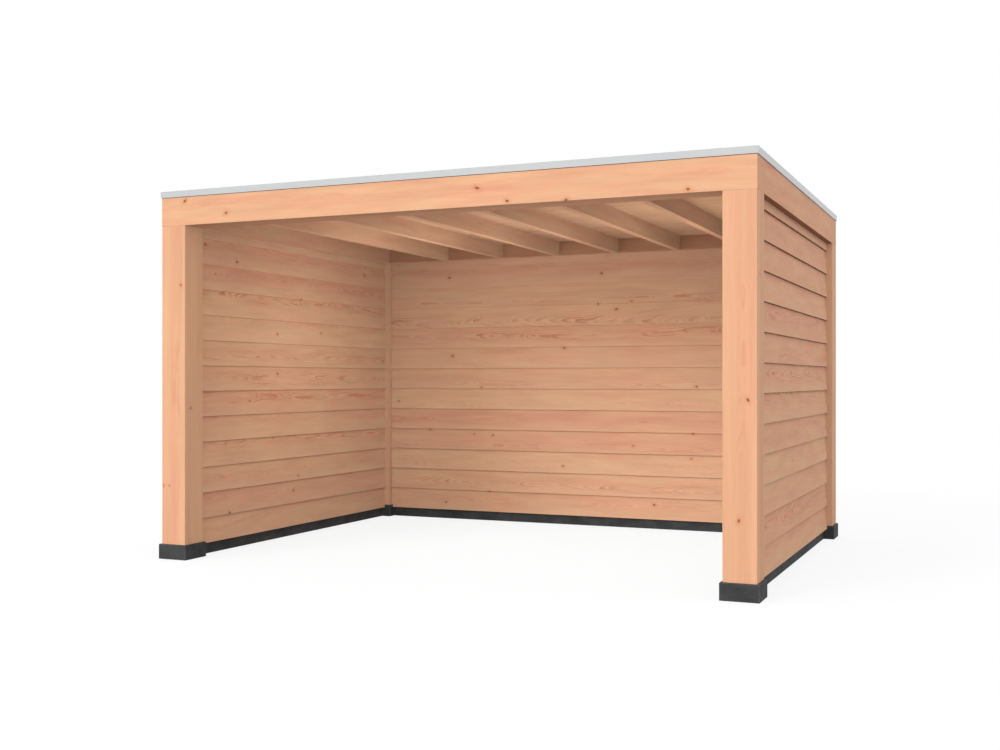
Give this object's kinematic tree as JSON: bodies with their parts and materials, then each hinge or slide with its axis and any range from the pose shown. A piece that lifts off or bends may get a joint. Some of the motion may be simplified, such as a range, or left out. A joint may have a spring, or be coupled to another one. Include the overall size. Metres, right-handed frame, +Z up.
{
  "type": "garden canopy",
  "caption": "Flat-roofed timber garden canopy with lapped board walls on the back and both sides, an open front, square posts on blocks and a sunken roof with metal edge trim.",
  "frame": {"origin": "on the ground under the middle of the canopy, in the plane of the foot blocks' undersides", "axes": "+X to the right along the open front, +Y from the open front to the back wall, +Z up"},
  "size_m": [4.03, 3.03, 2.469],
  "materials": {
    "frame_timber": "planed softwood, untreated",
    "wall_boards": "fine sawn softwood, untreated",
    "roof_timber": "planed softwood, untreated",
    "deck_timber": "planed softwood, untreated",
    "stud_timber": "sawn softwood",
    "cast_base": "dark grey cast, matt",
    "membrane": "matt sheet",
    "edge_trim": "satin"
  },
  "bodies": {
    "root": {"foot_front_left": "cast_base", "post_front_left": "frame_timber", "foot_front_right": "cast_base", "post_front_right": "frame_timber", "foot_back_left": "cast_base", "post_back_left": "frame_timber", "foot_back_right": "cast_base", "post_back_right": "frame_timber", "beam_front": "frame_timber", "beam_right": "frame_timber", "beam_back": "frame_timber", "beam_left": "frame_timber", "joist_1": "roof_timber", "joist_2": "roof_timber", "joist_3": "roof_timber", "joist_4": "roof_timber", "joist_5": "roof_timber", "joist_6": "roof_timber", "roof_deck": "deck_timber", "roof_membrane": "membrane", "roof_trim_front": "edge_trim", "roof_trim_right": "edge_trim", "roof_trim_back": "edge_trim", "roof_trim_left": "edge_trim", "left_wall_plinth": "cast_base", "left_wall_rails": "stud_timber", "left_wall_studs": "stud_timber", "left_wall_outer_boards": "wall_boards", "left_wall_inner_boards": "wall_boards", "back_wall_plinth": "cast_base", "back_wall_rails": "stud_timber", "back_wall_studs": "stud_timber", "back_wall_outer_boards": "wall_boards", "back_wall_inner_boards": "wall_boards", "right_wall_plinth": "cast_base", "right_wall_rails": "stud_timber", "right_wall_studs": "stud_timber", "right_wall_outer_boards": "wall_boards", "right_wall_inner_boards": "wall_boards"}
  },
  "joints": []
}
